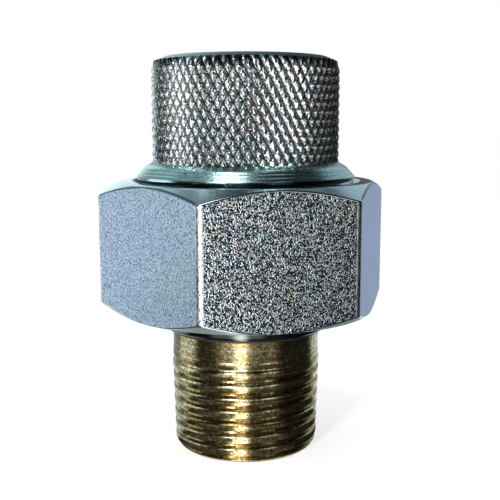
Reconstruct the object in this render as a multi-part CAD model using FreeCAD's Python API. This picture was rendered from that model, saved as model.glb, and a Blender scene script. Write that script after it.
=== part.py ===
import FreeCAD, Part
import math
import os

# Dielectric union for half inch iron pipe, drawn in millimetres.
# The union stands on its brass end. Z runs up along the waterway, and the origin is
# the centre of the brass end face. One flat of the hexagon nut faces -Y.

# Brass tailpiece: male pipe thread below, flange inside the nut above.
tail_bore_d = 14.0
pipe_thread_d = 20.8
pipe_thread_len = 14.2
pipe_thread_lead_in = 1.0
neck_step = 0.2
tail_flange_t = 3.3
tail_flange_chamfer = 0.4

# Union nut: hexagon, turned neck below, bore for the union thread above.
brass_showing = 17.75
nut_neck_len = 2.45
nut_neck_wall = 0.88
nut_neck_chamfer = 0.3
nut_hex_height = 18.35
nut_wall = 2.73
nut_corner_r = 1.0
nut_chamfer_deg = 30.0
nut_top_face_in = 0.35
nut_floor_t = 2.0
nut_mouth_chamfer = 0.8

# Steel female end: male union thread below, shoulder ring, knurled collar above.
union_thread_d = 30.9
union_thread_len = 10.7
union_thread_lead_in = 0.8
shoulder_lower_h = 1.15
shoulder_upper_h = 0.75
shoulder_upper_w = 1.02
collar_height = 14.52
collar_wall = 4.13
collar_foot_w = 0.12
collar_chamfer_deg = 22.0
collar_land_w = 0.5

# Female pipe thread, drilled to the tapping size, with a countersunk mouth.
socket_d = 18.26
socket_depth = 15.5
socket_mouth_w = 1.77
socket_step = 1.13

# Diamond knurl on the collar: this many left and right hand grooves.
knurl_starts = 62
knurl_helix_deg = 30.0
knurl_depth = 0.5

# Insulating sleeve and sealing gasket.
sleeve_wall = 0.7
sleeve_showing = 0.45
sleeve_flange_t = 1.0
sleeve_rim_wall = 0.75
sleeve_rim_short = 0.3
gasket_t = 2.0
gasket_bore_w = 0.5
gasket_edge_w = 0.4

# Clearances, all measured on the radius or along the axis.
thread_gap = 0.07
sleeve_gap = 0.07
neck_gap = 0.05
flange_gap = 0.1
rim_gap = 0.37
seat_gap = 0.02

# Radii that follow from the sizes above, from the waterway outwards.
tail_bore_r = tail_bore_d / 2
pipe_thread_r = pipe_thread_d / 2
neck_r = pipe_thread_r + neck_step
sleeve_bore_r = neck_r + neck_gap
sleeve_r = sleeve_bore_r + sleeve_wall
nut_hole_r = sleeve_r + sleeve_gap
nut_neck_r = nut_hole_r + nut_neck_wall
union_thread_r = union_thread_d / 2
nut_bore_r = union_thread_r + thread_gap
hex_flat_r = nut_bore_r + nut_wall
sleeve_rim_r = nut_bore_r - rim_gap
sleeve_rim_bore_r = sleeve_rim_r - sleeve_rim_wall
tail_flange_r = sleeve_rim_bore_r - flange_gap
socket_r = socket_d / 2
socket_mouth_r = socket_r + socket_mouth_w
waterway_r = socket_r - socket_step
collar_r = socket_r + collar_wall
collar_top_r = socket_mouth_r + collar_land_w
gasket_bore_r = waterway_r + gasket_bore_w
gasket_r = tail_flange_r - gasket_edge_w

# Heights that follow from the sizes above, from the brass end face upwards.
nut_foot_z = brass_showing
hex_foot_z = nut_foot_z + nut_neck_len
hex_top_z = hex_foot_z + nut_hex_height
nut_lip_z = hex_foot_z + nut_floor_t
sleeve_seat_z = nut_lip_z + seat_gap
tail_flange_z = sleeve_seat_z + sleeve_flange_t
tail_top_z = tail_flange_z + tail_flange_t
gasket_top_z = tail_top_z + gasket_t
end_foot_z = gasket_top_z + seat_gap
shoulder_z = end_foot_z + union_thread_len
shoulder_break_z = shoulder_z + shoulder_lower_h
collar_foot_z = shoulder_break_z + shoulder_upper_h
end_top_z = collar_foot_z + collar_height
collar_chamfer_h = (collar_r - collar_top_r) * math.tan(math.radians(collar_chamfer_deg))
knurl_top_z = end_top_z - collar_chamfer_h


def on_circle(radius, angle, z):
    """A point at a radius, an angle in radians and a height."""
    return FreeCAD.Vector(radius * math.cos(angle), radius * math.sin(angle), z)


def turned_wire(profile, closed):
    """A wire through (radius, height) points in the XZ plane."""
    points = [FreeCAD.Vector(radius, 0, z) for radius, z in profile]
    if closed:
        points.append(points[0])
    return Part.makePolygon(points)


def turned(profile):
    """A solid of revolution about Z from a closed outline of (radius, height) points."""
    outline = Part.Face(turned_wire(profile, True))
    return outline.revolve(FreeCAD.Vector(0, 0, 0), FreeCAD.Vector(0, 0, 1), 360)


def brass_tailpiece():
    """The brass end: threaded spigot, plain neck and the flange that the nut pulls up."""
    return turned([
        (tail_bore_r, 0),
        (pipe_thread_r - pipe_thread_lead_in, 0),
        (pipe_thread_r, pipe_thread_lead_in),
        (pipe_thread_r, pipe_thread_len),
        (neck_r, pipe_thread_len + neck_step),
        (neck_r, tail_flange_z),
        (tail_flange_r, tail_flange_z),
        (tail_flange_r, tail_top_z - tail_flange_chamfer),
        (tail_flange_r - tail_flange_chamfer, tail_top_z),
        (tail_bore_r, tail_top_z),
    ])


def insulating_sleeve():
    """The plastic sleeve that keeps the brass off the nut, at the neck and at the flange."""
    return turned([
        (sleeve_bore_r, nut_foot_z - sleeve_showing),
        (sleeve_r, nut_foot_z - sleeve_showing),
        (sleeve_r, sleeve_seat_z),
        (sleeve_rim_r, sleeve_seat_z),
        (sleeve_rim_r, tail_top_z - sleeve_rim_short),
        (sleeve_rim_bore_r, tail_top_z - sleeve_rim_short),
        (sleeve_rim_bore_r, tail_flange_z),
        (sleeve_bore_r, tail_flange_z),
    ])


def sealing_gasket():
    """The flat washer that seals the two ends and keeps their metals apart."""
    return turned([
        (gasket_bore_r, tail_top_z),
        (gasket_r, tail_top_z),
        (gasket_r, gasket_top_z),
        (gasket_bore_r, gasket_top_z),
    ])


def hexagon_prism(flat_r, z_low, z_high):
    """A hexagon with a flat facing -Y, its corners rounded along their height."""
    corner_r = flat_r / math.cos(math.pi / 6)
    corners = [on_circle(corner_r, k * math.pi / 3, z_low) for k in range(7)]
    prism = Part.Face(Part.makePolygon(corners)).extrude(FreeCAD.Vector(0, 0, z_high - z_low))
    upright = [edge for edge in prism.Edges if abs(edge.tangentAt(edge.FirstParameter).z) > 0.5]
    return prism.makeFillet(nut_corner_r, upright)


def union_nut():
    """The hexagon nut: chamfered both ends, a lip that bears on the sleeve, a turned neck."""
    slope = math.tan(math.radians(nut_chamfer_deg))
    reach_r = hex_flat_r / math.cos(math.pi / 6)
    top_face_r = hex_flat_r - nut_top_face_in
    turned_blank = turned([
        (0, hex_foot_z),
        (hex_flat_r, hex_foot_z),
        (reach_r, hex_foot_z + (reach_r - hex_flat_r) * slope),
        (reach_r, hex_top_z - (reach_r - top_face_r) * slope),
        (top_face_r, hex_top_z),
        (0, hex_top_z),
    ])
    hexagon = hexagon_prism(hex_flat_r, hex_foot_z, hex_top_z).common(turned_blank)
    neck = turned([
        (0, nut_foot_z),
        (nut_neck_r - nut_neck_chamfer, nut_foot_z),
        (nut_neck_r, nut_foot_z + nut_neck_chamfer),
        (nut_neck_r, hex_foot_z + nut_floor_t / 2),
        (0, hex_foot_z + nut_floor_t / 2),
    ])
    inside = turned([
        (0, nut_foot_z),
        (nut_hole_r, nut_foot_z),
        (nut_hole_r, nut_lip_z),
        (nut_bore_r, nut_lip_z),
        (nut_bore_r, hex_top_z - nut_mouth_chamfer),
        (nut_bore_r + nut_mouth_chamfer, hex_top_z),
        (0, hex_top_z),
    ])
    return hexagon.fuse(neck).cut(inside).removeSplitter()


def knurl_rows():
    """The knurl's corners, row by row: groove crossings and diamond peaks take turns.

    A peak in one row stands above and below a crossing in the next rows, so the number
    of rows is even and follows from the helix angle. In the top row the corners lie on
    the cone of the collar's chamfer, so the chamfer cuts the peaks and not the grooves.
    """
    step = math.pi / knurl_starts
    row_height = collar_r * step / math.tan(math.radians(knurl_helix_deg))
    pairs = max(1, round((knurl_top_z - collar_foot_z) / row_height / 2))
    count = 2 * pairs
    slope = math.tan(math.radians(collar_chamfer_deg))
    rows = []
    for j in range(count + 1):
        z = collar_foot_z + (knurl_top_z - collar_foot_z) * j / count
        row = []
        for k in range(2 * knurl_starts):
            peak = (j + k) % 2 == 0
            radius = collar_r if peak else collar_r - knurl_depth
            lift = (collar_r - radius) * slope if j == count else 0
            row.append(on_circle(radius, k * step, z + lift))
        rows.append(row)
    return rows


def triangle(a, b, c):
    """A flat face with three corners."""
    return Part.Face(Part.makePolygon([a, b, c, a]))


def ring_of(row):
    """A closed wire through a row of points."""
    return Part.makePolygon(row + row[:1])


def flat_ring(outer, inner):
    """A flat face between two closed wires."""
    return Part.makeFace([outer, inner], "Part::FaceMakerBullseye")


def knurl_faces(rows):
    """Four flat faces for each diamond, from its peak to the two grooves on each side."""
    faces = []
    around = 2 * knurl_starts
    for j in range(len(rows) - 1):
        for k in range(around):
            left = (k - 1) % around
            right = (k + 1) % around
            if (j + k) % 2 == 0:
                faces.append(triangle(rows[j][k], rows[j + 1][k], rows[j][left]))
                faces.append(triangle(rows[j][k], rows[j][right], rows[j + 1][k]))
            else:
                faces.append(triangle(rows[j + 1][k], rows[j][k], rows[j + 1][right]))
                faces.append(triangle(rows[j + 1][k], rows[j + 1][left], rows[j][k]))
    return faces


def chamfer_faces(rows):
    """The collar's chamfer and its top rim, from the top row of the knurl inwards."""
    faces = []
    around = 2 * knurl_starts
    outer = rows[-1]
    inner = [on_circle(collar_top_r, k * math.pi / knurl_starts, end_top_z) for k in range(around)]
    for k in range(around):
        right = (k + 1) % around
        faces.append(triangle(outer[k], outer[right], inner[right]))
        faces.append(triangle(outer[k], inner[right], inner[k]))
    mouth = Part.Wire(Part.makeCircle(socket_mouth_r, FreeCAD.Vector(0, 0, end_top_z)))
    faces.append(flat_ring(ring_of(inner), mouth))
    return faces


def collar_step(rows):
    """The narrow flat step that the knurl's lowest row stands on."""
    edge = Part.Wire(Part.makeCircle(collar_r + collar_foot_w, FreeCAD.Vector(0, 0, collar_foot_z)))
    return flat_ring(edge, ring_of(rows[0]))


def steel_female_end():
    """The steel end in one piece: union thread, shoulder ring, knurled collar and socket.

    Its turned faces run from the knurl's foot down the outside and up through the
    waterway to the mouth. The knurl closes them into one solid.
    """
    profile = [
        (collar_r + collar_foot_w, collar_foot_z),
        (collar_r + collar_foot_w + shoulder_upper_w, shoulder_break_z),
        (union_thread_r, shoulder_z),
        (union_thread_r, end_foot_z + union_thread_lead_in),
        (union_thread_r - union_thread_lead_in, end_foot_z),
        (waterway_r, end_foot_z),
        (waterway_r, end_top_z - socket_depth - socket_step),
        (socket_r, end_top_z - socket_depth),
        (socket_r, end_top_z - socket_mouth_w),
        (socket_mouth_r, end_top_z),
    ]
    wire = turned_wire(profile, False)
    skin = wire.revolve(FreeCAD.Vector(0, 0, 0), FreeCAD.Vector(0, 0, 1), 360)
    rows = knurl_rows()
    faces = skin.Faces + knurl_faces(rows) + chamfer_faces(rows) + [collar_step(rows)]
    shell = Part.makeShell(faces)
    shell.sewShape()
    solid = Part.makeSolid(shell)
    if solid.Volume < 0:
        solid.reverse()
    return solid


def main():
    os.makedirs("parts", exist_ok=True)
    pieces = {
        "brass_tailpiece": brass_tailpiece(),
        "insulating_sleeve": insulating_sleeve(),
        "sealing_gasket": sealing_gasket(),
        "union_nut": union_nut(),
        "steel_female_end": steel_female_end(),
    }
    for name, shape in pieces.items():
        box = shape.BoundBox
        print(name, "solids", len(shape.Solids), "valid", shape.isValid(), "closed", shape.isClosed(),
              "volume", round(shape.Volume, 1), "z", round(box.ZMin, 3), round(box.ZMax, 3))
        shape.exportStep("parts/" + name + ".step")


main()
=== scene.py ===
import math

import bmesh
import bpy
from mathutils import Matrix, Vector


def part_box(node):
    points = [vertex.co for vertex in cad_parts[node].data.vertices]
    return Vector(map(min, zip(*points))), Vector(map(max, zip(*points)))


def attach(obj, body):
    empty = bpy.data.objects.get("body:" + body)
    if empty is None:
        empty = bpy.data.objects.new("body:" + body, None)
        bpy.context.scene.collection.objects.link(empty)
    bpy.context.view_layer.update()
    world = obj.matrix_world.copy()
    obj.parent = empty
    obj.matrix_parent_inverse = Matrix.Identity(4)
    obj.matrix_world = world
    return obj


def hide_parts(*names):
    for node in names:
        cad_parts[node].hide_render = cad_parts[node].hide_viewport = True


# The looks of a dielectric union for half inch pipe. Every piece is a closed skin of rings
# round the Z axis, so that threads, knurl and hexagon are real surface. Shapes are worked
# out in millimetres in the frame's own axes, and become metres where their points are made.

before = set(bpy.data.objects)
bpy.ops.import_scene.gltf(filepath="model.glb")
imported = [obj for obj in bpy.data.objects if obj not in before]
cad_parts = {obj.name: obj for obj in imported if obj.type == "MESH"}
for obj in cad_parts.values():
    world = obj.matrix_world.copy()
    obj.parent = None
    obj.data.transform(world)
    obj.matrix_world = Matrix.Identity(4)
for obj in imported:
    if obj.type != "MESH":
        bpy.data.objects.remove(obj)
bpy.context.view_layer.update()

MM = 0.001
TURN = 2 * math.pi


def zone(node):
    """A node's foot, its top and half its width along Y, in millimetres."""
    low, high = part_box(node)
    return low.z / MM, high.z / MM, (high.y - low.y) / 2 / MM


BRASS_FOOT, BRASS_TOP, FLANGE_R = zone("brass_tailpiece")
SLEEVE_FOOT, SLEEVE_TOP, SLEEVE_RIM_R = zone("insulating_sleeve")
GASKET_FOOT, GASKET_TOP, GASKET_R = zone("sealing_gasket")
NUT_FOOT, NUT_TOP, HEX_FLAT_R = zone("union_nut")
END_FOOT, END_TOP, UNION_R = zone("steel_female_end")

# Where the photograph was taken from, and its lens.
CAMERA_SIDE = 14.287      # degrees to the left of the flat that faces -Y
CAMERA_AWAY = 123.61      # millimetres from the axis
CAMERA_UP = 46.80         # millimetres above the floor
CAMERA_DIP = 8.49         # degrees below level
CAMERA_SWING = 0.29       # degrees to the right of the axis
CAMERA_LENS = 62.0        # on a sensor of the width below
CAMERA_SENSOR = 36

# Brass tailpiece, in millimetres.
TAIL_BORE_R = 7.0
PIPE_THREAD_R = 10.35     # over the crests, a little above the end face
PIPE_TAPER = 1 / 32
PIPE_PITCH = 25.4 / 14
PIPE_DEPTH = 0.65
PIPE_PHASE = 0.17         # of a turn
PIPE_THREAD_END = 14.2
PIPE_RUN_OUT = 2.4
LEAD_IN = 1.9
LEAD_IN_R = 9.7
LEAD_IN_CURVE = 2.4       # power of the height by which the lead-in draws in
TAIL_FACE_R = LEAD_IN_R - 0.8
NECK_R = 10.6
LEAD_IN_TOP_R = NECK_R - 0.1
LAST_CREST_R = NECK_R + 0.05
FLANGE_H = 3.3

# Insulating sleeve and sealing gasket.
SLEEVE_BORE_R = 10.65
SLEEVE_R = 11.35
SLEEVE_RIM_BORE_R = 14.4
SLEEVE_FLOOR_H = 1.0
SLEEVE_GAP = 0.02         # between the sleeve's rim and the nut's lip
GASKET_HOLE_R = 8.5

# Union nut.
NUT_NECK_H = 2.45
NUT_NECK_R = 12.3
NUT_NECK_BREAK = 0.3
NUT_HOLE_R = 11.42
NUT_BORE_R = 15.52
NUT_LIP = 2.0
NUT_MOUTH = 0.8
NUT_THREAD_BELOW = 0.6    # how far the nut's thread starts below the gasket's top
NUT_THREAD_FADE = 0.5
HEX_CORNER_R = 1.0
HEX_TOP_IN = 0.35         # from the flats in to the edge of the top face
HEX_FOOT_IN = 0.03
HEX_SLOPE = math.tan(math.radians(30))
EDGE = 0.11               # size of its soft edges
CORNER_STEPS = 8
FLAT_STEPS = 22
CORNER_AT = (HEX_FLAT_R - HEX_CORNER_R) / math.cos(TURN / 12)   # from the axis to a corner's centre

# Union thread, on the steel end and inside the nut.
UNION_PITCH = 25.4 / 16
UNION_DEPTH = 0.9
UNION_RUN_OUT = 1.6
UNION_LEAD_IN = 0.8
UNION_FACE_R = UNION_R - 1.1

# Steel female end.
SHOULDER_Z = END_FOOT + 10.7
THREAD_END_Z = SHOULDER_Z - 0.2
SHOULDER_BREAK_Z = SHOULDER_Z + 1.15
SHOULDER_BREAK_R = 14.40
TOOL_LINES = (0.42, 0.86)   # above the shoulder's foot
TOOL_LINE_FORM = ((-0.07, 0), (0, 0.05), (0.05, 0))   # heights beside a line, and its depth there
COLLAR_FOOT_Z = SHOULDER_BREAK_Z + 0.75
COLLAR_R = 13.26
COLLAR_STEP = 0.12
COLLAR_TOP_R = 11.4
COLLAR_SLOPE = math.tan(math.radians(22))
RIM_SOFT = 0.04             # how far the edges of the top face are softened
SOCKET_R = 9.13
SOCKET_DEPTH = 15.5
SOCKET_MOUTH_R = 10.9
SOCKET_CREST_OUT = 0.1      # how far the thread's crests lie outside SOCKET_R at its mouth
SOCKET_THREAD_DEPTH = 1.323
WATERWAY_R = 8.0

# The knurl. Its u counts half diamonds round the axis, and its v rows of them up from its foot.
KNURL_TOP_Z = END_TOP - (COLLAR_R - COLLAR_TOP_R) * COLLAR_SLOPE
KNURL_STARTS = 62
KNURL_ROWS = 12
KNURL_STEP = (KNURL_TOP_Z - COLLAR_FOOT_Z) / KNURL_ROWS
KNURL_SHARES = (0, 0.17, 0.34, 0.5, 0.66, 0.83)   # of a row, at which its rings run
KNURL_FOOT = (-0.5, -0.34, -0.17)                 # rings over its run-out below the collar
KNURL_DEPTH = 0.46
KNURL_ROUND = 0.4         # share of a diamond's half width that is rounded at its peak
KNURL_WEAR = 0.12         # how far the ridges between a diamond's faces are worn, as a share
KNURL_SHIFT = -0.31       # how far round the axis it is turned, in steps of its u
KNURL_SHAVE = 0.40        # how much the top of the knurl leans in to the collar's top chamfer
KNURL_LEAN_ROWS = 1.4
KNURL_RIM_DEPTH = 0.45    # share of the grooves' depth that is left at the top chamfer
KNURL_SKIP = 0.5          # share of its depth that one set of grooves lacks where its wheel skipped
KNURL_SKIP_AT = -29.2     # the u of that place at half the collar's height
KNURL_SKIP_LEAN = 0.25    # how far it moves round for each row down
KNURL_SKIP_HALF = 8.0     # half its width

# Depth across a thread, as (share of the pitch from its crest, share of its depth).
THREAD_KNOTS = ((0, 0), (0.02, 0.01), (0.05, 0.06), (0.45, 0.94), (0.48, 0.99), (0.5, 1))
WORN_KNOTS = ((0, 0), (0.12, 0.01), (0.22, 0.04), (0.27, 0.10), (0.31, 0.22), (0.35, 0.42),
              (0.40, 0.68), (0.45, 0.90), (0.5, 1))

# Shares of the pitch at which a thread's rings of points run, from crest to root to crest.
PLAIN_SHARES = (0, 0.04, 0.46, 0.5, 0.54, 0.96)
WORN_SHARES = (0, 0.12, 0.22, 0.27, 0.31, 0.35, 0.40, 0.45, 0.5, 0.55, 0.60, 0.65, 0.69, 0.73,
               0.78, 0.88)

# Places in a piece's list of materials. The nut's six flats take 1 to 6.
TURNED = 0
KNURLED, TEAL, RIM = 1, 2, 3
WORN, DULL, DARK, EDGED = 7, 8, 9, 10
SMOOTH_OR_FINE = (1, 2, 4, 6)   # those of the nut's flats that aren't coarse

ROUND_STEPS = 248
ROUND = [TURN * k / ROUND_STEPS for k in range(ROUND_STEPS)]

SHARP_DEG = 32            # edges that turn by more stay sharp
WELD = 2e-7               # metres, as is the next
SHORTEST_EDGE = 1e-8


def ring(radius, z, angles=ROUND):
    """A level ring of points, each (radius, angle, height)."""
    return [(radius, angle, z) for angle in angles]


def rings(profile, angles=ROUND):
    """Level rings through a profile of (radius, height) points."""
    return [ring(radius, z, angles) for radius, z in profile]


def softened(profile, size):
    """A profile of (radius, height) points whose inner corners are small arcs.

    A point beyond each end of an arc keeps the shading of the faces beside it flat.
    """
    out = [profile[0]]
    for before, here, after in zip(profile, profile[1:], profile[2:]):
        at = Vector(here)
        back = Vector(before) - at
        on = Vector(after) - at
        reach = min(size, back.length * 0.3, on.length * 0.3)
        start = at + back.normalized() * reach
        end = at + on.normalized() * reach
        out.append(tuple(at + back.normalized() * reach * 1.5))
        for s in (0, 0.25, 0.5, 0.75, 1):
            out.append(tuple(start.lerp(at, s).lerp(at.lerp(end, s), s)))
        out.append(tuple(at + on.normalized() * reach * 1.5))
    out.append(profile[-1])
    return out


def point(mesh, spot):
    """A vertex at (radius, angle, height), in metres."""
    radius, angle, z = spot
    return mesh.verts.new((radius * math.cos(angle) * MM, radius * math.sin(angle) * MM, z * MM))


def face(mesh, corners, material):
    """A face through its corners, where at least three are different."""
    corners = list(dict.fromkeys(corners))
    if len(corners) > 2:
        mesh.faces.new(corners).material_index = material


def strip(mesh, rows, climb=0, paint=lambda k: TURNED, rising=None):
    """Skin between rings of points.

    With climb, the end of each ring meets the start of the ring so many rows on, as in a
    thread. Where a ring has several times the points of the one before, triangles join
    them. paint gives the material of a step, and rising says which way a quad is split.
    """
    verts = [[point(mesh, spot) for spot in row] for row in rows]
    top = len(rows) - 1
    for j in range(top):
        low, high = verts[j], verts[j + 1]
        count = len(low)
        share = len(high) // count
        for k in range(count):
            last = k + 1 == count
            right = verts[min(j + climb, top)][0] if last else low[k + 1]
            if share > 1:
                fan = [high[(share * k + s) % len(high)] for s in range(share + 1)]
                middle = share // 2
                for s in range(share):
                    face(mesh, (low[k] if s < middle else right, fan[s + 1], fan[s]), paint(k))
                face(mesh, (low[k], right, fan[middle]), paint(k))
                continue
            right_up = verts[min(j + 1 + climb, top)][0] if last else high[k + 1]
            if rising is None:
                face(mesh, (low[k], right, right_up, high[k]), paint(k))
            elif rising(j, k):
                face(mesh, (low[k], right, right_up), paint(k))
                face(mesh, (low[k], right_up, high[k]), paint(k))
            else:
                face(mesh, (low[k], right, high[k]), paint(k))
                face(mesh, (right, right_up, high[k]), paint(k))


def form(knots, share):
    """Depth at a share of the pitch, from knots over the half from crest to root."""
    away = min(share, 1 - share)
    for (start, low), (end, high) in zip(knots, knots[1:]):
        if away <= end:
            return low + (high - low) * (away - start) / (end - start)
    return knots[-1][1]


def thread_form(share):
    """Depth of a 60 degree thread, 0 at its crest and 1 at its root, slightly rounded."""
    return form(THREAD_KNOTS, share)


def worn_form(share):
    """Depth of a thread with broad blunt crests, 0 on them and 1 at its narrow root."""
    return form(WORN_KNOTS, share)


def smoothed(t):
    """0 up to 0, 1 from 1, and smooth between."""
    t = min(max(t, 0), 1)
    return t * t * (3 - 2 * t)


def fade(z, start, end):
    """0 at start, 1 at end, smooth between."""
    return smoothed((z - start) / (end - start))


def thread_rows(low, high, pitch, radius_at, shares, angles=ROUND, phase=0.0):
    """Rings that climb a right-hand thread and are cut off level at both ends.

    radius_at gives the surface for a share of the pitch and a height.
    """
    rows = []
    for turn in range(-2, math.ceil((high - low) / pitch) + 1):
        for share in shares:
            row = []
            for angle in angles:
                z = low + pitch * (turn + share + phase + angle / TURN)
                z = min(max(z, low), high)
                at = ((z - low) / pitch - phase - angle / TURN) % 1.0
                row.append((radius_at(at, z), angle, z))
            rows.append(row)
    return rows


def placed(name, data):
    """A new object in the scene."""
    piece = bpy.data.objects.new(name, data)
    bpy.context.scene.collection.objects.link(piece)
    return piece


def closed_piece(mesh, name, materials):
    """The finished object: welded, closed, smooth but for its sharp edges."""
    bmesh.ops.remove_doubles(mesh, verts=mesh.verts, dist=WELD)
    bmesh.ops.dissolve_degenerate(mesh, edges=mesh.edges, dist=SHORTEST_EDGE)
    bmesh.ops.recalc_face_normals(mesh, faces=mesh.faces)
    for one in mesh.faces:
        one.smooth = True
    for edge in mesh.edges:
        edge.smooth = edge.calc_face_angle(0) < math.radians(SHARP_DEG)
    data = bpy.data.meshes.new(name)
    mesh.to_mesh(data)
    mesh.free()
    for material in materials:
        data.materials.append(material)
    return placed(name, data)


def turned_piece(name, profile, material, size):
    """A closed turned piece from its whole profile, with softened corners."""
    mesh = bmesh.new()
    around = softened(profile[-1:] + profile + profile[:1], size)
    strip(mesh, rings(around[1:-1] + around[1:2]))
    return closed_piece(mesh, name, [material])


def fitted(piece, body, node):
    """The piece takes the place of a node, on its body."""
    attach(piece, body)
    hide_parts(node)


def brass_tailpiece(material):
    """The brass end: taper thread, plain neck, and the flange inside the nut."""
    mesh = bmesh.new()

    def radius_at(share, z):
        run_out = fade(z, PIPE_THREAD_END - PIPE_RUN_OUT, PIPE_THREAD_END)
        crest = PIPE_THREAD_R + (z - BRASS_FOOT) * PIPE_TAPER
        crest += (LAST_CREST_R - crest) * run_out
        radius = crest - PIPE_DEPTH * (1 - run_out) * worn_form(share)
        blunt = max(0, 1 - (z - BRASS_FOOT) / LEAD_IN)
        if blunt:
            radius = min(radius, LEAD_IN_TOP_R - (LEAD_IN_TOP_R - LEAD_IN_R) * blunt ** LEAD_IN_CURVE)
        return radius

    thread = thread_rows(BRASS_FOOT, PIPE_THREAD_END, PIPE_PITCH, radius_at, WORN_SHARES, phase=PIPE_PHASE)
    strip(mesh, thread, climb=len(WORN_SHARES))
    flange_z = BRASS_TOP - FLANGE_H
    upper = [(NECK_R, PIPE_THREAD_END + 0.1)] + softened([
        (NECK_R, PIPE_THREAD_END + 0.2),
        (NECK_R, flange_z),
        (FLANGE_R, flange_z),
        (FLANGE_R, BRASS_TOP),
        (TAIL_BORE_R, BRASS_TOP),
        (TAIL_BORE_R, BRASS_FOOT),
        (TAIL_FACE_R, BRASS_FOOT),
    ], size=0.25)
    strip(mesh, [thread[-1]] + rings(upper) + [thread[0]])
    return closed_piece(mesh, "brass_tailpiece_dressed", [material])


def insulating_sleeve(material):
    """The plastic sleeve between the nut and the brass, with its rim round the flange."""
    seat_z = NUT_FOOT + NUT_NECK_H + NUT_LIP + SLEEVE_GAP
    return turned_piece("insulating_sleeve_dressed", [
        (SLEEVE_BORE_R, SLEEVE_FOOT),
        (SLEEVE_R, SLEEVE_FOOT),
        (SLEEVE_R, seat_z),
        (SLEEVE_RIM_R, seat_z),
        (SLEEVE_RIM_R, SLEEVE_TOP),
        (SLEEVE_RIM_BORE_R, SLEEVE_TOP),
        (SLEEVE_RIM_BORE_R, seat_z + SLEEVE_FLOOR_H),
        (SLEEVE_BORE_R, seat_z + SLEEVE_FLOOR_H),
    ], material, size=0.12)


def sealing_gasket(material):
    """The rubber washer between the brass flange and the steel end."""
    return turned_piece("sealing_gasket_dressed", [
        (GASKET_HOLE_R, GASKET_FOOT),
        (GASKET_R, GASKET_FOOT),
        (GASKET_R, GASKET_TOP),
        (GASKET_HOLE_R, GASKET_TOP),
    ], material, size=0.2)


def hexagon_angles():
    """Angles round the nut: close together at its six rounded corners, wide on its flats."""
    arc = []
    for step in range(CORNER_STEPS + 1):
        normal = (2 * step / CORNER_STEPS - 1) * TURN / 12
        arc.append(math.atan2(HEX_CORNER_R * math.sin(normal), CORNER_AT + HEX_CORNER_R * math.cos(normal)))
    width = TURN / 6 - 2 * arc[-1]
    flat = [arc[-1] + width * s / FLAT_STEPS for s in range(1, FLAT_STEPS)]
    return [side * TURN / 6 + angle for side in range(6) for angle in arc + flat]


HEXAGON = hexagon_angles()


def hexagon_r(angle):
    """The nut's outline: flats, with corners at each sixth of a turn rounded off."""
    off = (angle + TURN / 12) % (TURN / 6) - TURN / 12
    reach = math.atan2(HEX_CORNER_R * math.sin(TURN / 12), CORNER_AT + HEX_CORNER_R * math.cos(TURN / 12))
    if abs(off) >= reach:
        return HEX_FLAT_R / math.cos(TURN / 12 - abs(off))
    return CORNER_AT * math.cos(off) + math.sqrt(HEX_CORNER_R ** 2 - (CORNER_AT * math.sin(off)) ** 2)


def chamfered(inner_r, face_z, slope):
    """Rings over a chamfer of the nut, from its inner circle to a soft edge on the flats."""
    columns = []
    for angle in HEXAGON:
        outer = hexagon_r(angle)
        soft = min(EDGE, (outer - inner_r) * 0.2)
        edge_z = face_z + (outer - inner_r) * slope
        away = math.copysign(soft, slope)
        spots = [(inner_r - EDGE * 0.8, face_z)]
        spots += [(inner_r + soft * s, face_z + soft * s * slope) for s in (0.8, 1.6)]
        spots += [(outer - soft * s, edge_z - soft * s * slope) for s in (2.4, 1.6, 0.7)]
        spots += [(outer - soft * 0.05, edge_z + away * 0.6), (outer, edge_z + away * 1.6)]
        columns.append([(radius, angle, z) for radius, z in spots])
    return [list(row) for row in zip(*columns)]


def flat_paint(k):
    """The material of a step round the nut: one for each flat, and one for the corners."""
    side, step = divmod(k, len(HEXAGON) // 6)
    return 1 + side if step >= CORNER_STEPS else WORN


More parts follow.
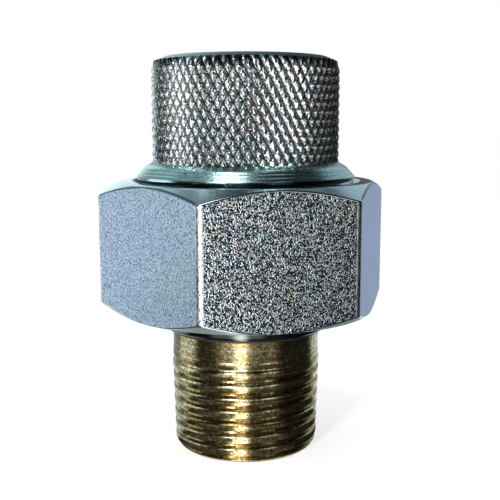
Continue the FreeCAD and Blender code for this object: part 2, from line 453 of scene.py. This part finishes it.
def union_nut(materials):
    """The hexagon nut, chamfered at both ends, with its neck, lip and inner thread.

    The first material is the turned surface; the next six are for the flats in turn,
    counted from the corner on +X.
    """
    mesh = bmesh.new()
    hex_foot = NUT_FOOT + NUT_NECK_H
    foot_face_r = HEX_FLAT_R - HEX_FOOT_IN
    top_face_r = HEX_FLAT_R - HEX_TOP_IN
    lower = chamfered(foot_face_r, hex_foot, HEX_SLOPE)
    upper = chamfered(top_face_r, NUT_TOP, -HEX_SLOPE)
    strip(mesh, lower[:4], paint=lambda k: DULL)
    strip(mesh, lower[3:])
    low_line = [(radius, angle, z + EDGE) for radius, angle, z in lower[-1]]
    high_line = [(radius, angle, z - EDGE) for radius, angle, z in upper[-1]]
    strip(mesh, [lower[-1], low_line, high_line, upper[-1]], paint=flat_paint)
    strip(mesh, upper[:4])
    # the soft top edges of the smooth and fine flats are painted dark as a dark reflection
    strip(mesh, upper[3:], paint=lambda k: EDGED if flat_paint(k) in SMOOTH_OR_FINE else TURNED)

    # the neck below the hexagon is painted near-black as shade
    neck = softened([
        (NUT_HOLE_R, NUT_FOOT),
        (NUT_NECK_R - NUT_NECK_BREAK, NUT_FOOT),
        (NUT_NECK_R, NUT_FOOT + NUT_NECK_BREAK),
        (NUT_NECK_R, hex_foot),
        (foot_face_r - EDGE * 0.8, hex_foot),
    ], size=0.15)
    strip(mesh, rings(neck, HEXAGON), paint=lambda k: DARK)

    lip_z = hex_foot + NUT_LIP
    thread_foot = GASKET_TOP - NUT_THREAD_BELOW
    mouth_z = NUT_TOP - NUT_MOUTH

    def radius_at(share, z):
        ridge = UNION_DEPTH * fade(z, thread_foot, thread_foot + UNION_RUN_OUT)
        ridge *= fade(mouth_z - z, 0, NUT_THREAD_FADE)
        return NUT_BORE_R - ridge * (1 - thread_form((share + 0.5) % 1.0))

    start = (thread_foot - END_FOOT) / UNION_PITCH
    thread = thread_rows(thread_foot, mouth_z, UNION_PITCH, radius_at, PLAIN_SHARES, HEXAGON, -start % 1.0)
    strip(mesh, thread, climb=len(PLAIN_SHARES))
    inside = softened([
        (NUT_BORE_R, thread_foot),
        (NUT_BORE_R, lip_z),
        (NUT_HOLE_R, lip_z),
        (NUT_HOLE_R, NUT_FOOT),
    ], size=0.15)
    strip(mesh, rings(inside, HEXAGON))
    # the mouth is painted near-black as the shade in the gap round the steel end
    strip(mesh, rings([
        (NUT_BORE_R, mouth_z),
        (NUT_BORE_R + NUT_MOUTH, NUT_TOP),
        (top_face_r - EDGE * 0.8, NUT_TOP),
    ], HEXAGON), paint=lambda k: DARK)
    return closed_piece(mesh, "union_nut_dressed", materials)


def shoulder_r(z):
    """Radius of the shoulder's upper slope."""
    slope = (SHOULDER_BREAK_R - COLLAR_R - COLLAR_STEP) / (COLLAR_FOOT_Z - SHOULDER_BREAK_Z)
    return COLLAR_R + COLLAR_STEP + (COLLAR_FOOT_Z - z) * slope


def groove(across):
    """Depth of a knurl's groove as a share, from the middle of a land to the groove's root."""
    away = abs((across + 1) % 2 - 1)
    if away < KNURL_ROUND:
        return away ** 2 / (2 - KNURL_ROUND) / KNURL_ROUND
    return (2 * away - KNURL_ROUND) / (2 - KNURL_ROUND)


def groove_kept(u, v):
    """Share of its depth that the skipping set of grooves has."""
    off = u - KNURL_SKIP_AT - KNURL_SKIP_LEAN * (KNURL_ROWS / 2 - v)
    off = (off + KNURL_STARTS) % (2 * KNURL_STARTS) - KNURL_STARTS
    return 1 - KNURL_SKIP * max(0, 1 - (off / KNURL_SKIP_HALF) ** 2)


def knurl_depth(u, v):
    """Depth below the peaks: that of the deeper groove, with the ridges worn a little."""
    one, other = groove(u + v), groove(u - v) * groove_kept(u, v)
    worn = max(0, KNURL_WEAR - abs(one - other)) ** 2 / 4 / KNURL_WEAR
    return KNURL_DEPTH * min(1, max(one, other) + worn)


def knurl_rows():
    """Rings over the knurl, and which way each of their quads is split.

    Each diamond is a low pyramid, slightly worn at its peak. The grooves run out below, and
    the last rows lean in so that they end on the collar's top chamfer.
    """
    across = [k + share for k in range(2 * KNURL_STARTS) for share in KNURL_SHARES]
    up = [*KNURL_FOOT, *(j + share for j in range(KNURL_ROWS) for share in KNURL_SHARES), KNURL_ROWS]
    rows = []
    for v in up:
        row = []
        near_top = max((v - KNURL_ROWS) / KNURL_LEAN_ROWS + 1, 0)
        shave = KNURL_SHAVE * near_top ** 2
        cut = min(1, 1 - v / KNURL_FOOT[0]) * (1 - (1 - KNURL_RIM_DEPTH) * near_top ** 2)
        z = COLLAR_FOOT_Z + KNURL_STEP * v
        blank = COLLAR_R - shave if v >= 0 else shoulder_r(z)
        for u in across:
            lift = (shave + knurl_depth(u, KNURL_ROWS) * KNURL_RIM_DEPTH) * COLLAR_SLOPE * near_top
            row.append((blank - knurl_depth(u, v) * cut, u * TURN / 2 / KNURL_STARTS, z + lift))
        rows.append(row)

    def rising(j, k):
        return (math.floor(up[j]) + k // len(KNURL_SHARES)) % 2 == 1

    return rows, rising


def turned_lines():
    """Two fine grooves that the turning tool left round the shoulder's lower slope."""
    spots = []
    slope = (SHOULDER_BREAK_R - UNION_R) / (SHOULDER_BREAK_Z - SHOULDER_Z)
    for up in TOOL_LINES:
        for off, depth in TOOL_LINE_FORM:
            spots.append((UNION_R + (up + off) * slope - depth, SHOULDER_Z + up + off))
    return spots


def steel_female_end(materials):
    """Union thread, shoulder ring, knurled collar, and the threaded socket inside."""
    mesh = bmesh.new()

    def union_r_at(share, z):
        blank = min(UNION_R, UNION_R - UNION_LEAD_IN + (z - END_FOOT))
        cut = UNION_DEPTH * (1 - fade(z, SHOULDER_Z - UNION_RUN_OUT, THREAD_END_Z))
        return min(blank, UNION_R - cut * thread_form(share))

    thread = thread_rows(END_FOOT, SHOULDER_Z, UNION_PITCH, union_r_at, PLAIN_SHARES)
    strip(mesh, thread, climb=len(PLAIN_SHARES))

    knurl, rising = knurl_rows()
    below_z = COLLAR_FOOT_Z + KNURL_STEP * KNURL_FOOT[0] - 0.05
    below = softened([(UNION_R, SHOULDER_Z)] + turned_lines() + [
        (SHOULDER_BREAK_R, SHOULDER_BREAK_Z),
        (shoulder_r(below_z), below_z),
    ], size=0.1)
    strip(mesh, rings(below) + [knurl[0]], paint=lambda k: TEAL)
    foot = len(KNURL_FOOT)
    strip(mesh, knurl[:foot + 1], rising=rising, paint=lambda k: TEAL)
    strip(mesh, knurl[foot:], rising=lambda j, k: rising(j + foot, k), paint=lambda k: KNURLED)

    fine = [angle for _, angle, _ in knurl[0]]
    rim = ring(COLLAR_TOP_R - RIM_SOFT, END_TOP, fine)
    soft = RIM_SOFT * 1.5
    chamfer_end = ring(COLLAR_TOP_R + soft, END_TOP - soft * COLLAR_SLOPE, fine)
    # the collar's top chamfer, painted near-black as shade
    strip(mesh, [knurl[-1], chamfer_end, rim], paint=lambda k: RIM)
    mouth = ring(SOCKET_MOUTH_R + RIM_SOFT, END_TOP)
    strip(mesh, [mouth, rim])

    mouth_z = END_TOP - (SOCKET_MOUTH_R - SOCKET_R)
    socket_z = END_TOP - SOCKET_DEPTH

    def socket_r_at(share, z):
        crest = SOCKET_R + SOCKET_CREST_OUT - (mouth_z - z) * PIPE_TAPER
        deep = SOCKET_THREAD_DEPTH * fade(z, socket_z, socket_z + PIPE_RUN_OUT)
        return max(SOCKET_R, crest + deep * (1 - thread_form((share + 0.5) % 1.0)))

    socket = thread_rows(socket_z, mouth_z, PIPE_PITCH, socket_r_at, PLAIN_SHARES)
    strip(mesh, socket, climb=len(PLAIN_SHARES))
    strip(mesh, [socket[-1], ring(SOCKET_MOUTH_R, END_TOP - RIM_SOFT), mouth])
    lower = softened([
        (SOCKET_R, socket_z - 0.01),
        (WATERWAY_R, socket_z - (SOCKET_R - WATERWAY_R)),
        (WATERWAY_R, END_FOOT),
        (UNION_FACE_R, END_FOOT),
    ], size=0.2)
    strip(mesh, [socket[0]] + rings(lower) + [thread[0]])
    turn = Matrix.Rotation(KNURL_SHIFT * TURN / 2 / KNURL_STARTS, 3, "Z")
    bmesh.ops.rotate(mesh, cent=(0, 0, 0), matrix=turn, verts=mesh.verts)
    return closed_piece(mesh, "steel_female_end_dressed", materials)


# Colours of the finishes. The tints are thin clear coats of zinc plate, except the near-black ones: painted
# shade on the collar's rim, the nut's neck and its mouth, and a painted dark reflection on the arcs.
ZINC = (0.49, 0.55, 0.58)
ZINC_BLUE = (0.41, 0.57, 0.67)
ZINC_GREEN = (0.40, 0.56, 0.58)
ZINC_TEAL = (0.33, 0.55, 0.55)
TURNED_TINTS = (ZINC_GREEN, ZINC_BLUE, ZINC_GREEN)
TEAL_TINTS = (ZINC_GREEN, ZINC_TEAL, ZINC_GREEN)
DULL_TINTS = (ZINC_GREEN, ZINC)
KNURL_TINTS = ((0.56, 0.67, 0.69), (0.73, 0.71, 0.70), (0.58, 0.66, 0.71))
COARSE_TINTS = ((0.54, 0.66, 0.64), (0.63, 0.62, 0.64), (0.54, 0.62, 0.69), (0.63, 0.65, 0.57))
FINE_TINTS = ((0.62, 0.67, 0.87), (0.60, 0.70, 0.83), (0.57, 0.73, 0.73))
SMOOTH_TINTS = ((0.39, 0.43, 0.80), (0.36, 0.50, 0.72))
WORN_TINTS = ((0.52, 0.56, 0.57), (0.68, 0.69, 0.68))
# near-black: painted shade on the collar's top chamfer
RIM_SHADE_TINTS = ((0.025, 0.045, 0.05), (0.045, 0.07, 0.07))
# near-black: painted shade on the nut's neck under the hexagon and in its mouth round the steel end
SHADE_TINTS = ((0.06, 0.085, 0.08), (0.12, 0.13, 0.12))
# dark: a painted dark reflection along the top arcs of the smooth and fine flats
DARK_REFLECTION_TINTS = ((0.07, 0.11, 0.13), (0.12, 0.17, 0.19))
# the knurl's dark specks, and the shade painted into its grooves and below its rim
KNURL_SHADE_AND_SPECKS = (0.015, 0.035, 0.04)
COARSE_PITS = (0.015, 0.03, 0.035)
FINE_PITS = (0.11, 0.16, 0.26)
TEAL_PITS = (0.14, 0.26, 0.26)
WORN_PITS = (0.10, 0.14, 0.16)
BRASS_STOPS = ((0.38, (0.22, 0.09, 0.03)), (0.5, (0.40, 0.33, 0.14)), (0.62, (0.78, 0.765, 0.57)))
BRASS_SPECKS = (0.06, 0.045, 0.02)
RIM_SHADE_H = 0.4         # millimetres below the knurl's top over which painted shade darkens it
RIM_SHADE = 0.6
MOTTLE = 0.12             # how much rougher a plastic or rubber is where it is mottled


def add(tree, kind, inputs=None, **settings):
    """A shader node with its settings, each input a plain value or another node's output."""
    node = tree.nodes.new("ShaderNode" + kind)
    for key, value in settings.items():
        setattr(node, key, value)
    for key, value in (inputs or {}).items():
        if isinstance(value, bpy.types.NodeSocket):
            tree.links.new(value, node.inputs[key])
        else:
            node.inputs[key].default_value = value
    return node


def blank_material(name):
    """A new material and its empty tree of nodes."""
    material = bpy.data.materials.new(name)
    material.use_nodes = True
    material.node_tree.nodes.clear()
    return material, material.node_tree


def shown(tree, shader, kind="OutputMaterial"):
    """The shader as what the tree gives."""
    output = add(tree, kind)
    tree.links.new(shader.outputs[0], output.inputs["Surface"])


def maths(tree, operation, a, b=0.0, clamp=False):
    """The result of one sum."""
    return add(tree, "Math", {0: a, 1: b}, operation=operation, use_clamp=clamp).outputs[0]


def ramp(tree, value, stops):
    """A colour for a value, through (position, colour) stops."""
    node = add(tree, "ValToRGB", {"Fac": value})
    while len(node.color_ramp.elements) < len(stops):
        node.color_ramp.elements.new(0.5)
    for element, (position, colour) in zip(node.color_ramp.elements, stops):
        element.position = position
        element.color = (*colour, 1)
    return node.outputs["Color"]


def spread(tree, value, low, high, to_low=0.0, to_high=1.0):
    """A value moved from one range to another, kept inside it."""
    return add(tree, "MapRange", {0: value, 1: low, 2: high, 3: to_low, 4: to_high}).outputs[0]


def mixed(tree, share, a, b):
    """Two colours mixed."""
    return add(tree, "Mix", {0: share, 6: a, 7: b}, data_type="RGBA").outputs[2]


def noise(tree, place, scale, detail=2.0, rough=0.5):
    """A cloudy value from 0 to 1."""
    node = add(tree, "TexNoise", {"Vector": place, "Scale": scale, "Detail": detail, "Roughness": rough})
    return node.outputs[0]


def bumped(tree, height, distance):
    """A bump, with distance in metres."""
    return add(tree, "Bump", {"Height": height, "Distance": distance, "Strength": 1.0}).outputs[0]


def round_place(tree):
    """A place that is the same all round the axis, its radius, and the plain place.

    The first is (radius, 0, height), so that a noise on it gives turned lines.
    """
    place = add(tree, "TexCoord").outputs["Object"]
    parts = add(tree, "SeparateXYZ", {0: place})
    across = maths(tree, "POWER", parts.outputs[0], 2.0)
    along = maths(tree, "POWER", parts.outputs[1], 2.0)
    radius = maths(tree, "SQRT", maths(tree, "ADD", across, along))
    return add(tree, "CombineXYZ", {0: radius, 2: parts.outputs[2]}).outputs[0], radius, place


def metal(name, colour_of, bump_of, roughness, turned=0.0):
    """A metal whose colour and bump come from functions of its node tree.

    turned says how much more its fine tool lines blur what it mirrors along the axis.
    """
    material, tree = blank_material(name)
    around, radius, place = round_place(tree)
    shader = add(tree, "BsdfPrincipled", {"Metallic": 1.0, "Roughness": roughness})
    tree.links.new(colour_of(tree, around, radius, place), shader.inputs["Base Color"])
    tree.links.new(bump_of(tree, around, radius, place), shader.inputs["Normal"])
    if turned:
        shader.inputs["Anisotropic"].default_value = turned
        shader.inputs["Anisotropic Rotation"].default_value = 0.25
        tangent = add(tree, "Tangent", direction_type="RADIAL", axis="Z")
        tree.links.new(tangent.outputs[0], shader.inputs["Tangent"])
    shown(tree, shader)
    return material


def plain(name, colour, roughness, grain_scale, grain_depth):
    """A plastic or rubber with a fine surface grain and faint mottling."""
    material, tree = blank_material(name)
    place = add(tree, "TexCoord").outputs["Object"]
    cloud = noise(tree, place, grain_scale / 6, 3.0)
    light = tuple(min(1, c * 1.5 + 0.004) for c in colour)
    shown(tree, add(tree, "BsdfPrincipled", {
        "Base Color": ramp(tree, cloud, [(0.3, colour), (0.7, light)]),
        "Roughness": spread(tree, cloud, 0.3, 0.7, roughness, roughness + MOTTLE),
        "Normal": bumped(tree, noise(tree, place, grain_scale, 2.0), grain_depth),
    }))
    return material


def zinc_colour(tints, scale):
    """Zinc plate with broad soft patches of tint."""
    def colour(tree, around, radius, place):
        cloud = noise(tree, place, scale, 3.0, 0.55)
        stops = [(0.32 + 0.36 * i / (len(tints) - 1), tint) for i, tint in enumerate(tints)]
        return ramp(tree, cloud, stops)
    return colour


def grained(base, scale, pits, low, high, detail=0.5):
    """A colour with darker pits where a noise is under low, and none where it is over high."""
    def colour(tree, around, radius, place):
        cell = spread(tree, noise(tree, place, scale, detail, 0.6), low, high)
        return mixed(tree, cell, (*pits, 1), base(tree, around, radius, place))
    return colour


def knurl_colour(tree, around, radius, place):
    """Plate that is plain on the peaks, with painted shade down in the grooves and below its top rim, and
    dark specks.
    """
    tint = zinc_colour(KNURL_TINTS, 160.0)(tree, around, radius, place)
    # painted shade: the deeper a point lies in a groove, the darker it is painted
    high = spread(tree, radius, (COLLAR_R - KNURL_DEPTH) * MM, (COLLAR_R - KNURL_DEPTH * 0.5) * MM)
    speck = spread(tree, noise(tree, place, 3800.0, 1.0), 0.36, 0.54, 0.3, 1.0)
    height = add(tree, "SeparateXYZ", {0: around}).outputs[2]
    # painted shade over the last rows below the knurl's top
    rim_shading = spread(tree, height, KNURL_TOP_Z * MM, (KNURL_TOP_Z - RIM_SHADE_H) * MM, RIM_SHADE, 1.0)
    unshaded_unspecked = maths(tree, "MULTIPLY", maths(tree, "MULTIPLY", high, speck), rim_shading)
    return mixed(tree, unshaded_unspecked, (*KNURL_SHADE_AND_SPECKS, 1), tint)


def brass_colour(tree, around, radius, place):
    """Machined brass with browner patches and dark specks."""
    cloud = maths(tree, "ADD", noise(tree, place, 2200.0, 3.0, 0.6), noise(tree, around, 3400.0, 2.0, 0.6))
    tone = ramp(tree, maths(tree, "MULTIPLY", cloud, 0.5), BRASS_STOPS)
    speck = spread(tree, noise(tree, place, 5600.0, 1.0), 0.34, 0.48, 0.3, 1.0)
    return mixed(tree, speck, (*BRASS_SPECKS, 1), tone)


def turned_bump(scale, depth):
    """Fine lines round the axis."""
    def bump(tree, around, radius, place):
        return bumped(tree, noise(tree, around, scale, 3.0, 0.6), depth)
    return bump


def grain_bump(scale, depth, detail=2.0):
    """A pitted, grainy surface."""
    def bump(tree, around, radius, place):
        return bumped(tree, noise(tree, place, scale, detail, 0.6), depth)
    return bump


def spot_at(right_deg, away, up):
    """A place by its bearing to the camera's right, its distance from the axis and its height."""
    angle = math.radians(-90 - CAMERA_SIDE + right_deg)
    return Vector((away * math.cos(angle) * MM, away * math.sin(angle) * MM, up * MM))


def camera():
    """The photograph's camera."""
    data = bpy.data.cameras.new("camera")
    data.sensor_width = CAMERA_SENSOR
    data.lens = CAMERA_LENS
    eye = placed("camera", data)
    eye.location = spot_at(0, CAMERA_AWAY, CAMERA_UP)
    heading = math.radians(CAMERA_SIDE + CAMERA_SWING)
    dip = math.radians(CAMERA_DIP)
    forward = Vector((math.sin(heading) * math.cos(dip), math.cos(heading) * math.cos(dip), -math.sin(dip)))
    eye.rotation_euler = forward.to_track_quat("-Z", "Y").to_euler()
    bpy.context.scene.camera = eye


MIDDLE_UP = 30            # height of the object's middle, which the lamps and panels are set from


def lamp(name, right_deg, away, up, width, height, power):
    """A soft rectangular lamp that faces the object."""
    data = bpy.data.lights.new(name, "AREA")
    data.shape = "RECTANGLE"
    data.size = width * MM
    data.size_y = height * MM
    data.energy = power
    light = placed(name, data)
    light.location = spot_at(right_deg, away, up)
    aim = Vector((0, 0, MIDDLE_UP * MM)) - light.location
    light.rotation_euler = aim.to_track_quat("-Z", "Y").to_euler()
    light.visible_camera = False


WORLD_FILL = 0.45         # the world's strength where it only lights
FLOOR_LIFT = 0.62         # glow of the floor where it is seen
FLOOR_WHITE = 0.86
FLOOR_R = 4               # metres


def seen_directly(tree):
    """1 for what the camera, metal or glass sees, 0 for light on its way elsewhere."""
    path = add(tree, "LightPath")
    total = maths(tree, "ADD", path.outputs["Is Camera Ray"], path.outputs["Is Glossy Ray"])
    return maths(tree, "ADD", total, path.outputs["Is Transmission Ray"], clamp=True)


def white_surroundings():
    """A white world, plain and even, that gives the floor a softer light."""
    world = bpy.data.worlds.new("surroundings")
    bpy.context.scene.world = world
    world.use_nodes = True
    tree = world.node_tree
    tree.nodes.clear()
    strength = spread(tree, seen_directly(tree), 0.0, 1.0, WORLD_FILL, 1.0)
    shown(tree, add(tree, "Background", {"Color": (1, 1, 1, 1), "Strength": strength}), "OutputWorld")


def floor():
    """A wide white floor that keeps the object's soft shadow."""
    mesh = bmesh.new()
    mesh.faces.new([mesh.verts.new((FLOOR_R * math.cos(a), FLOOR_R * math.sin(a), 0)) for a in ROUND])
    data = bpy.data.meshes.new("floor")
    mesh.to_mesh(data)
    mesh.free()
    material, tree = blank_material("floor")
    paper = add(tree, "BsdfDiffuse", {"Color": (FLOOR_WHITE, FLOOR_WHITE, FLOOR_WHITE, 1)})
    lift = maths(tree, "MULTIPLY", seen_directly(tree), FLOOR_LIFT)
    glow = add(tree, "Emission", {"Color": (1, 1, 1, 1), "Strength": lift})
    shown(tree, add(tree, "AddShader", {0: paper.outputs[0], 1: glow.outputs[0]}))
    data.materials.append(material)
    placed("floor", data)


# The studio surround: a curved wall from the floor round to a ceiling, as (distance, height),
# dark but for soft-edged pale panels. A panel is (bearing to the camera's right, half its
# width, lowest and highest elevation, level), in degrees seen from the object's middle.
WALL = ((0.5, 0.3), (10.9, 0.3), (40, 0.4), (80, 0.4), (130, 0.4), (240, 0.4), (240, 60), (240, 140),
        (240, 270), (170, 350), (90, 410), (0.5, 420))
WALL_STEPS = 6
BEARING_STEP = 2
WALL_LEVEL = 0.03
BEARING_SOFT = 7
ELEVATION_SOFT = 4
COOL_FROM = 45            # bearing where the wall starts to turn cooler
COOL_OVER = 30
COOL_LOSS = (0.16, 0.04, 0)   # share of red, green and blue that it lacks at its coolest
PANELS = {
    "left_window": (-99, 19, -30, 41, 1.27),
    "left_back": (-152, 28, -30, 4, 0.46),
    "left_wall": (-137, 17, 4, 52, 0.45),
    "left_high": (-118, 34, 44, 78, 0.42),
    "left_rear": (-167, 16, 2, 38, 1.1),
    "left_floor": (-132, 47, -84, -32, 0.88),
    "window_foot": (-98, 18, -18, 6, 0.35),
    "back_right": (138, 22, -22, 42, 0.6),
    "right_floor": (138, 22, -75, -22, 1.0),
    "back_middle": (180, 30, -62, 46, 0.12),
    "back_high": (163, 20, 46, 66, 0.28),
    "key_strip": (-20, 16, -13, 60, 1.9),
    "key_low": (-10, 32, -20, -8, 1.2),
    "front_strip": (-6, 6, -80, -14, 5.0),
    "front_column": (-7, 4, -14, 22, 2.8),
    "front_wings": (-12, 57, -80, -28, 0.10),
    "near_floor": (-8, 9, -22.5, -18.5, 3.0),
    "front_fill": (36, 9, -16, 12, 1.4),
}


def panel_level(bearing, elevation):
    """How bright the surround is in one direction."""
    def soft(past_edge, blur):
        return smoothed(0.5 - past_edge / blur / 2)

    level = WALL_LEVEL
    for at, half, low, high, full in PANELS.values():
        away = abs((bearing - at + 180) % 360 - 180)
        inside = soft(low - elevation, ELEVATION_SOFT) * soft(elevation - high, ELEVATION_SOFT)
        level += full * soft(away - half, min(BEARING_SOFT, half)) * inside
    return level


def wall_colour(bearing, elevation):
    """The surround's light in one direction, slightly cooler away from the front."""
    level = panel_level(bearing, elevation)
    cool = min(max((abs((bearing + 180) % 360 - 180) - COOL_FROM) / COOL_OVER, 0), 1)
    return [level * (1 - loss * cool) for loss in COOL_LOSS] + [1]


def surround():
    """A curved studio wall with pale panels, which only the metal sees."""
    profile = []
    for (away, up), (next_away, next_up) in zip(WALL, WALL[1:]):
        for s in range(WALL_STEPS):
            share = s / WALL_STEPS
            profile.append((away + (next_away - away) * share, up + (next_up - up) * share))
    profile.append(WALL[-1])
    mesh = bmesh.new()
    light = []
    rows = []
    for away, up in profile:
        elevation = math.degrees(math.atan2(up - MIDDLE_UP, away))
        row = []
        for bearing in range(0, 360, BEARING_STEP):
            row.append(mesh.verts.new(spot_at(bearing, away, up)))
            light += wall_colour(bearing, elevation)
        rows.append(row)
    for low, high in zip(rows, rows[1:]):
        for k in range(len(low)):
            mesh.faces.new((low[k - 1], low[k], high[k], high[k - 1]))
    data = bpy.data.meshes.new("surround")
    mesh.to_mesh(data)
    mesh.free()
    data.attributes.new("light", "FLOAT_COLOR", "POINT").data.foreach_set("color", light)
    material, tree = blank_material("surround")
    colour = add(tree, "Attribute", attribute_name="light").outputs["Color"]
    shown(tree, add(tree, "Emission", {"Color": colour, "Strength": 1.0}))
    material.cycles.emission_sampling = "NONE"
    data.materials.append(material)
    wall = placed("surround", data)
    wall.visible_camera = False
    wall.visible_diffuse = False
    wall.visible_shadow = False
    wall.visible_transmission = False


camera()
white_surroundings()
floor()
surround()
lamp("front_lamp", right_deg=-23, away=180, up=60, width=24, height=24, power=0.16)
lamp("overhead_lamp", right_deg=-52, away=48, up=255, width=66, height=52, power=0.09)

# Brass, plastic and rubber.
brass = metal("brass", brass_colour, turned_bump(7000.0, 0.00001), roughness=0.2, turned=0.5)
plastic = plain("sleeve_plastic", (0.014, 0.015, 0.018), 0.45, grain_scale=9000.0, grain_depth=0.000004)
rubber = plain("gasket_rubber", (0.03, 0.03, 0.03), 0.6, grain_scale=7000.0, grain_depth=0.000008)

# Turned plate: plain, teal on the shoulder, and painted dark at the collar's rim, the nut's neck and mouth
# (painted shade) and its arcs (a painted dark reflection).
fine_lines = turned_bump(9000.0, 0.000006)
turned_zinc = metal("turned_zinc", zinc_colour(TURNED_TINTS, 120.0), fine_lines, roughness=0.15)
teal_colour = grained(zinc_colour(TEAL_TINTS, 200.0), 4200.0, TEAL_PITS, 0.28, 0.44)
teal_zinc = metal("teal_zinc", teal_colour, turned_bump(9000.0, 0.000005), roughness=0.24)
shaded_rim_zinc = metal("shaded_rim_zinc", zinc_colour(RIM_SHADE_TINTS, 400.0), fine_lines, roughness=0.25)
dark_reflection_zinc = metal("dark_reflection_zinc", zinc_colour(DARK_REFLECTION_TINTS, 300.0), fine_lines, roughness=0.25)
shade_zinc = metal("shade_zinc", zinc_colour(SHADE_TINTS, 300.0), turned_bump(9000.0, 0.000003), roughness=0.06)

# Rough plate: the knurl, the nut's three kinds of flat, its worn corners and its dull lower chamfer.
knurled_zinc = metal("knurled_zinc", knurl_colour, grain_bump(3000.0, 0.00008), roughness=0.2)
coarse_colour = grained(zinc_colour(COARSE_TINTS, 420.0), 6000.0, COARSE_PITS, 0.45, 0.56)
coarse_flat = metal("coarse_flat", coarse_colour, grain_bump(6000.0, 0.00012, detail=0.5), roughness=0.25)
fine_colour = grained(zinc_colour(FINE_TINTS, 70.0), 4800.0, FINE_PITS, 0.35, 0.58, detail=2.0)
fine_flat = metal("fine_flat", fine_colour, grain_bump(6000.0, 0.0001), roughness=0.3)
smooth_colour = zinc_colour(SMOOTH_TINTS, 90.0)
smooth_flat = metal("smooth_flat", smooth_colour, grain_bump(5200.0, 0.000012), roughness=0.33)
worn_colour = grained(zinc_colour(WORN_TINTS, 1500.0), 4000.0, WORN_PITS, 0.32, 0.46)
worn_edge = metal("worn_edge", worn_colour, grain_bump(4000.0, 0.00005), roughness=0.3)
dull_zinc = metal("dull_zinc", zinc_colour(DULL_TINTS, 400.0), grain_bump(5000.0, 0.00002), roughness=0.5)

nut_finishes = [
    turned_zinc,
    smooth_flat, fine_flat, coarse_flat, fine_flat, coarse_flat, smooth_flat,
    worn_edge, dull_zinc, shade_zinc, dark_reflection_zinc,
]
end_finishes = [turned_zinc, knurled_zinc, teal_zinc, shaded_rim_zinc]

fitted(brass_tailpiece(brass), "tailpiece", "brass_tailpiece")
fitted(union_nut(nut_finishes), "nut", "union_nut")
fitted(steel_female_end(end_finishes), "female_end", "steel_female_end")
fitted(insulating_sleeve(plastic), "tailpiece", "insulating_sleeve")
fitted(sealing_gasket(rubber), "tailpiece", "sealing_gasket")

bpy.context.scene.view_settings.view_transform = "Standard"
